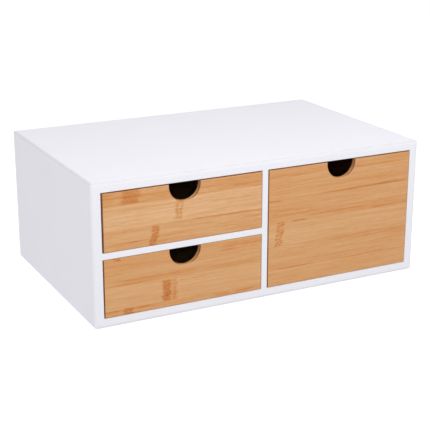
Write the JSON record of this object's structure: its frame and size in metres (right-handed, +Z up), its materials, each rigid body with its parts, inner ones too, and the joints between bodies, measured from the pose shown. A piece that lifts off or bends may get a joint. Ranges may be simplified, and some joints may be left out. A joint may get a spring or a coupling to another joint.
{
  "type": "desktop mini drawers",
  "caption": "Low white lacquered desktop case with bamboo-fronted drawers of different heights, pulled out by half-round finger notches.",
  "frame": {"origin": "on the table, under the middle of the case", "axes": "drawer fronts face -Y and the drawers pull out along -Y; +X runs to the right as one faces the fronts; +Z is up"},
  "size_m": [0.33, 0.21, 0.13],
  "materials": {
    "white_lacquer": "satin white lacquer on fibreboard",
    "bamboo_front": "flat-pressed laminated bamboo in 22 mm strips, satin clear lacquer",
    "bamboo_box": "laminated bamboo, sanded and thinly lacquered",
    "plywood": "thin pale plywood, sanded",
    "beech": "plain beech dowel",
    "steel": "bright wire pin"
  },
  "bodies": {
    "case": {"top_board": "white_lacquer", "bottom_board": "white_lacquer", "left_side_board": "white_lacquer", "right_side_board": "white_lacquer", "divider": "white_lacquer", "shelf": "white_lacquer", "back_panel": "white_lacquer", "case_dowels": "beech", "back_panel_pins": "steel"},
    "upper_left_drawer": {"upper_left_front": "bamboo_front", "upper_left_left_side": "bamboo_box", "upper_left_right_side": "bamboo_box", "upper_left_back": "bamboo_box", "upper_left_floor": "plywood", "upper_left_pins": "steel"},
    "lower_left_drawer": {"lower_left_front": "bamboo_front", "lower_left_left_side": "bamboo_box", "lower_left_right_side": "bamboo_box", "lower_left_back": "bamboo_box", "lower_left_floor": "plywood", "lower_left_pins": "steel"},
    "right_drawer": {"right_front": "bamboo_front", "right_left_side": "bamboo_box", "right_right_side": "bamboo_box", "right_back": "bamboo_box", "right_floor": "plywood", "right_pins": "steel"}
  },
  "joints": [
    {"name": "upper_left_slide", "type": "slide", "parent": "case", "child": "upper_left_drawer", "axis": [0, -1, 0], "range_m": [0, 0.17]},
    {"name": "lower_left_slide", "type": "slide", "parent": "case", "child": "lower_left_drawer", "axis": [0, -1, 0], "range_m": [0, 0.17]},
    {"name": "right_slide", "type": "slide", "parent": "case", "child": "right_drawer", "axis": [0, -1, 0], "range_m": [0, 0.17]}
  ]
}
